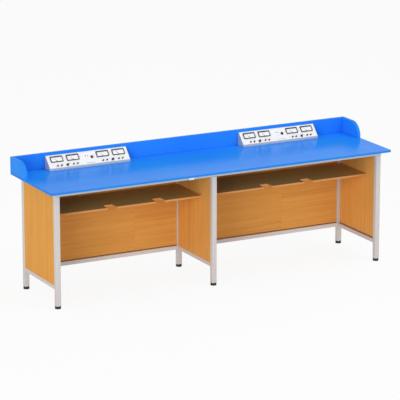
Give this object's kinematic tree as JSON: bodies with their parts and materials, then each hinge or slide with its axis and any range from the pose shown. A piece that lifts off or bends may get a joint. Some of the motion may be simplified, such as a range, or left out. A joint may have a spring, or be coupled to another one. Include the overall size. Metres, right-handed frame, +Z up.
{
  "type": "school instrument bench",
  "caption": "Long two-bay school lab bench: blue worktop with back and end upstands, sloped meter consoles, grey tube legs, wood-grain panels and notched book shelves.",
  "frame": {"origin": "on the floor, under the middle of the worktop", "axes": "+X along the bench to the right as a seated user sees it, +Y to the back upstand, +Z up"},
  "size_m": [2.4, 0.605, 0.845],
  "materials": {
    "blue_board": "semi-gloss blue laminate",
    "grey_paint": "light grey powder coat",
    "upright_grain_board": "wood-grain laminate, grain upright",
    "lengthwise_grain_board": "wood-grain laminate, grain along the bench",
    "white_paint": "white powder coat",
    "meter_black": "black moulding",
    "dial_card": "white printed dial",
    "meter_glass": "clear window",
    "needle_paint": "black painted blade",
    "knob_black": "black fluted knob",
    "button_red": "red button",
    "post_red": "red binding post",
    "post_black": "black binding post",
    "plated_steel": "plated screws and washers",
    "foot_black": "black moulded foot"
  },
  "bodies": {
    "bench": {"worktop": "blue_board", "back_upstand": "blue_board", "left_end_upstand": "blue_board", "right_end_upstand": "blue_board", "leg_front_left": "grey_paint", "leg_front_centre": "grey_paint", "leg_front_right": "grey_paint", "leg_back_left": "grey_paint", "leg_back_centre": "grey_paint", "leg_back_right": "grey_paint", "top_rail_front": "grey_paint", "top_rail_back": "grey_paint", "top_cross_rail_left": "grey_paint", "top_cross_rail_centre": "grey_paint", "top_cross_rail_right": "grey_paint", "lower_side_rail_left": "grey_paint", "lower_side_rail_centre": "grey_paint", "lower_side_rail_right": "grey_paint", "lower_back_rail_left": "grey_paint", "lower_back_rail_right": "grey_paint", "left_end_panel": "upright_grain_board", "centre_divider_panel": "upright_grain_board", "right_end_panel": "upright_grain_board", "back_panel_left_a": "lengthwise_grain_board", "back_panel_left_b": "lengthwise_grain_board", "back_panel_right_a": "lengthwise_grain_board", "back_panel_right_b": "lengthwise_grain_board", "book_shelf_left": "lengthwise_grain_board", "book_shelf_right": "lengthwise_grain_board", "console_left": "white_paint", "console_right": "white_paint", "meter_left_1": "meter_black", "meter_left_2": "meter_black", "meter_left_3": "meter_black", "meter_left_4": "meter_black", "meter_right_1": "meter_black", "meter_right_2": "meter_black", "meter_right_3": "meter_black", "meter_right_4": "meter_black"},
    "foot_front_left": {"foot_front_left": "foot_black"},
    "foot_front_centre": {"foot_front_centre": "foot_black"},
    "foot_front_right": {"foot_front_right": "foot_black"},
    "foot_back_left": {"foot_back_left": "foot_black"},
    "foot_back_centre": {"foot_back_centre": "foot_black"},
    "foot_back_right": {"foot_back_right": "foot_black"},
    "needle_left_1": {"needle_left_1": "needle_paint"},
    "needle_left_2": {"needle_left_2": "needle_paint"},
    "needle_left_3": {"needle_left_3": "needle_paint"},
    "needle_left_4": {"needle_left_4": "needle_paint"},
    "knob_left_1": {"knob_left_1": "knob_black"},
    "knob_left_2": {"knob_left_2": "knob_black"},
    "button_left": {"button_left": "button_red"},
    "needle_right_1": {"needle_right_1": "needle_paint"},
    "needle_right_2": {"needle_right_2": "needle_paint"},
    "needle_right_3": {"needle_right_3": "needle_paint"},
    "needle_right_4": {"needle_right_4": "needle_paint"},
    "knob_right_1": {"knob_right_1": "knob_black"},
    "knob_right_2": {"knob_right_2": "knob_black"},
    "button_right": {"button_right": "button_red"}
  },
  "joints": [
    {"name": "foot_front_left_turn", "type": "hinge", "parent": "bench", "child": "foot_front_left", "pos_m": [-1.135, -0.2375, 0], "axis": [0, 0, 1], "continuous": true},
    {"name": "foot_front_centre_turn", "type": "hinge", "parent": "bench", "child": "foot_front_centre", "pos_m": [-0.061, -0.2375, 0], "axis": [0, 0, 1], "continuous": true},
    {"name": "foot_front_right_turn", "type": "hinge", "parent": "bench", "child": "foot_front_right", "pos_m": [1.135, -0.2375, 0], "axis": [0, 0, 1], "continuous": true},
    {"name": "foot_back_left_turn", "type": "hinge", "parent": "bench", "child": "foot_back_left", "pos_m": [-1.135, 0.2375, 0], "axis": [0, 0, 1], "continuous": true},
    {"name": "foot_back_centre_turn", "type": "hinge", "parent": "bench", "child": "foot_back_centre", "pos_m": [-0.061, 0.2375, 0], "axis": [0, 0, 1], "continuous": true},
    {"name": "foot_back_right_turn", "type": "hinge", "parent": "bench", "child": "foot_back_right", "pos_m": [1.135, 0.2375, 0], "axis": [0, 0, 1], "continuous": true},
    {"name": "needle_left_1_swing", "type": "hinge", "parent": "bench", "child": "needle_left_1", "pos_m": [-0.909, 0.24237, 0.79744], "axis": [0, 0.7229, -0.691], "range_deg": [0, 90], "stiffness_Nm_per_rad": 0.002},
    {"name": "needle_left_2_swing", "type": "hinge", "parent": "bench", "child": "needle_left_2", "pos_m": [-0.799, 0.24237, 0.79744], "axis": [0, 0.7229, -0.691], "range_deg": [0, 90], "stiffness_Nm_per_rad": 0.002},
    {"name": "needle_left_3_swing", "type": "hinge", "parent": "bench", "child": "needle_left_3", "pos_m": [-0.593, 0.24237, 0.79744], "axis": [0, 0.7229, -0.691], "range_deg": [0, 90], "stiffness_Nm_per_rad": 0.002},
    {"name": "needle_left_4_swing", "type": "hinge", "parent": "bench", "child": "needle_left_4", "pos_m": [-0.483, 0.24237, 0.79744], "axis": [0, 0.7229, -0.691], "range_deg": [0, 90], "stiffness_Nm_per_rad": 0.002},
    {"name": "knob_left_1_turn", "type": "hinge", "parent": "bench", "child": "knob_left_1", "pos_m": [-0.847, 0.21987, 0.76984], "axis": [0, 0.7229, -0.691], "range_deg": [-150, 150]},
    {"name": "knob_left_2_turn", "type": "hinge", "parent": "bench", "child": "knob_left_2", "pos_m": [-0.535, 0.21987, 0.76984], "axis": [0, 0.7229, -0.691], "range_deg": [-150, 150]},
    {"name": "button_left_press", "type": "slide", "parent": "bench", "child": "button_left", "axis": [0, 0.7229, -0.691], "range_m": [0, 0.003], "stiffness_N_per_m": 400},
    {"name": "needle_right_1_swing", "type": "hinge", "parent": "bench", "child": "needle_right_1", "pos_m": [0.46, 0.24237, 0.79744], "axis": [0, 0.7229, -0.691], "range_deg": [0, 90], "stiffness_Nm_per_rad": 0.002},
    {"name": "needle_right_2_swing", "type": "hinge", "parent": "bench", "child": "needle_right_2", "pos_m": [0.57, 0.24237, 0.79744], "axis": [0, 0.7229, -0.691], "range_deg": [0, 90], "stiffness_Nm_per_rad": 0.002},
    {"name": "needle_right_3_swing", "type": "hinge", "parent": "bench", "child": "needle_right_3", "pos_m": [0.776, 0.24237, 0.79744], "axis": [0, 0.7229, -0.691], "range_deg": [0, 90], "stiffness_Nm_per_rad": 0.002},
    {"name": "needle_right_4_swing", "type": "hinge", "parent": "bench", "child": "needle_right_4", "pos_m": [0.886, 0.24237, 0.79744], "axis": [0, 0.7229, -0.691], "range_deg": [0, 90], "stiffness_Nm_per_rad": 0.002},
    {"name": "knob_right_1_turn", "type": "hinge", "parent": "bench", "child": "knob_right_1", "pos_m": [0.522, 0.21987, 0.76984], "axis": [0, 0.7229, -0.691], "range_deg": [-150, 150]},
    {"name": "knob_right_2_turn", "type": "hinge", "parent": "bench", "child": "knob_right_2", "pos_m": [0.834, 0.21987, 0.76984], "axis": [0, 0.7229, -0.691], "range_deg": [-150, 150]},
    {"name": "button_right_press", "type": "slide", "parent": "bench", "child": "button_right", "axis": [0, 0.7229, -0.691], "range_m": [0, 0.003], "stiffness_N_per_m": 400}
  ]
}
